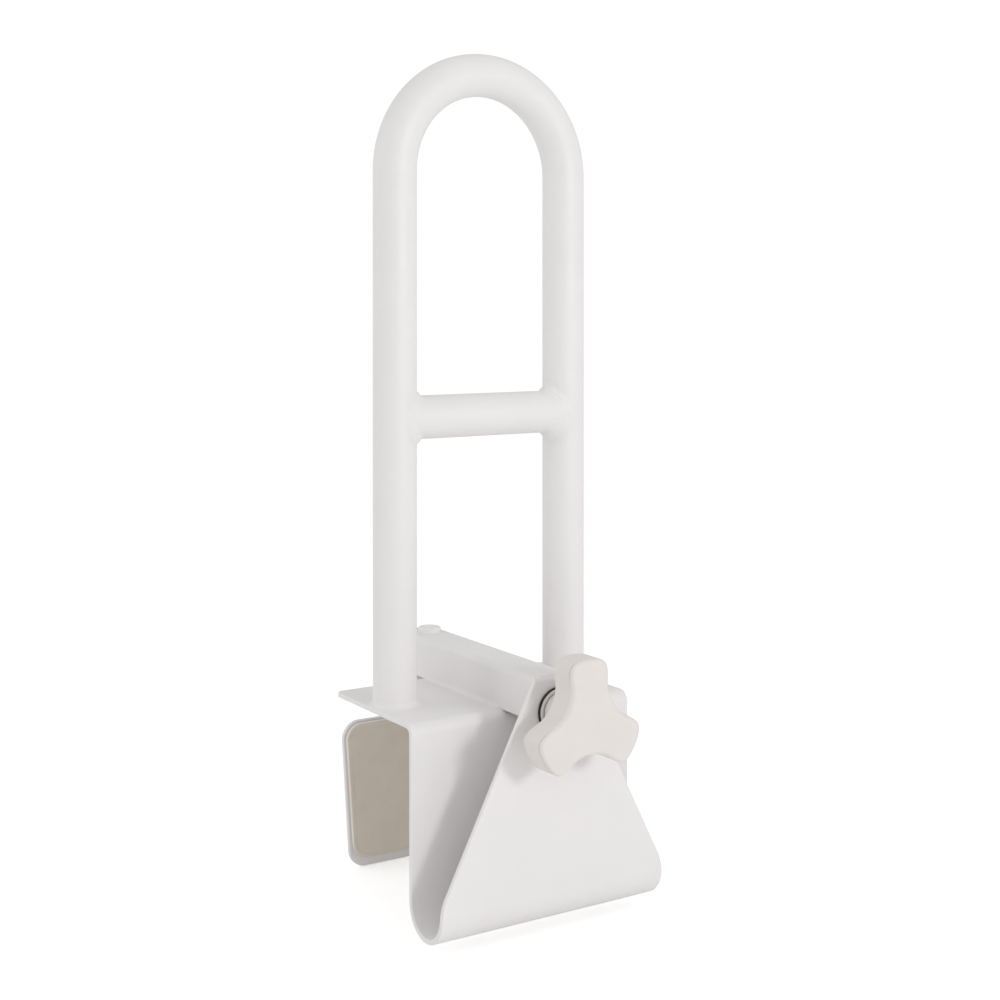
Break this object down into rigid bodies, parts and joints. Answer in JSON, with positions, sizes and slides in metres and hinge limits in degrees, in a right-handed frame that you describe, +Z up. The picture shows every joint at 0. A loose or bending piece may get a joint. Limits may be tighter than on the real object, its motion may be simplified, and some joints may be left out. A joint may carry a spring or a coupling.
{
  "type": "clamp-on bath-tub grab bar",
  "caption": "White steel grab bar: arched tube handle with a crossbar on a folded bracket, clamped over a tub rim by a padded jaw and a lobed knob.",
  "frame": {"origin": "centre of the underside of the top plate, where the bracket rests on the tub's rim", "axes": "+X along the rim from the left post to the right post, +Y from the knob to the rear jaw, +Z up"},
  "size_m": [0.1474, 0.2082, 0.4975],
  "materials": {
    "white_powder_coat": "satin white powder coat",
    "white_moulded_plastic": "satin moulded plastic",
    "taupe_rubber": "matt rubber",
    "chrome_washer": "bright",
    "zinc_plated_steel": "zinc plated",
    "brass_insert": "turned",
    "dark_nylon": "satin"
  },
  "bodies": {
    "root": {"handle_tube": "white_powder_coat", "crossbar": "white_powder_coat", "clamp_bracket": "white_powder_coat", "guide_channel": "white_powder_coat", "post_weld_left": "white_powder_coat", "post_weld_right": "white_powder_coat", "crossbar_weld_left": "white_powder_coat", "crossbar_weld_right": "white_powder_coat", "channel_weld_left": "white_powder_coat", "channel_weld_right": "white_powder_coat", "flap_weld_left": "white_powder_coat", "flap_weld_right": "white_powder_coat", "front_pad": "taupe_rubber", "stop_bolt": "white_powder_coat", "stop_nut": "zinc_plated_steel", "friction_washer": "dark_nylon", "retaining_washer": "zinc_plated_steel"},
    "knob": {"knob_body": "white_moulded_plastic", "knob_insert": "brass_insert", "clamp_screw": "zinc_plated_steel", "knob_washer": "chrome_washer", "retaining_collar": "zinc_plated_steel", "collar_pin": "zinc_plated_steel"},
    "jaw": {"jaw_carriage": "zinc_plated_steel", "carriage_nut": "zinc_plated_steel", "jaw_plate": "white_powder_coat", "jaw_leg": "white_powder_coat", "jaw_weld_left": "white_powder_coat", "jaw_weld_right": "white_powder_coat", "rear_pad": "taupe_rubber"}
  },
  "joints": [
    {"name": "knob_turn", "type": "hinge", "parent": "root", "child": "knob", "pos_m": [0, -0.079, 0.0085], "axis": [0, -1, 0], "range_deg": [-3360, 6000]},
    {"name": "jaw_slide", "type": "slide", "parent": "root", "child": "jaw", "axis": [0, 1, 0], "range_m": [-0.028, 0.05]}
  ],
  "couplings": [
    {"joint": "knob_turn", "follows": "jaw_slide", "rad_per_m": 2094.4}
  ]
}
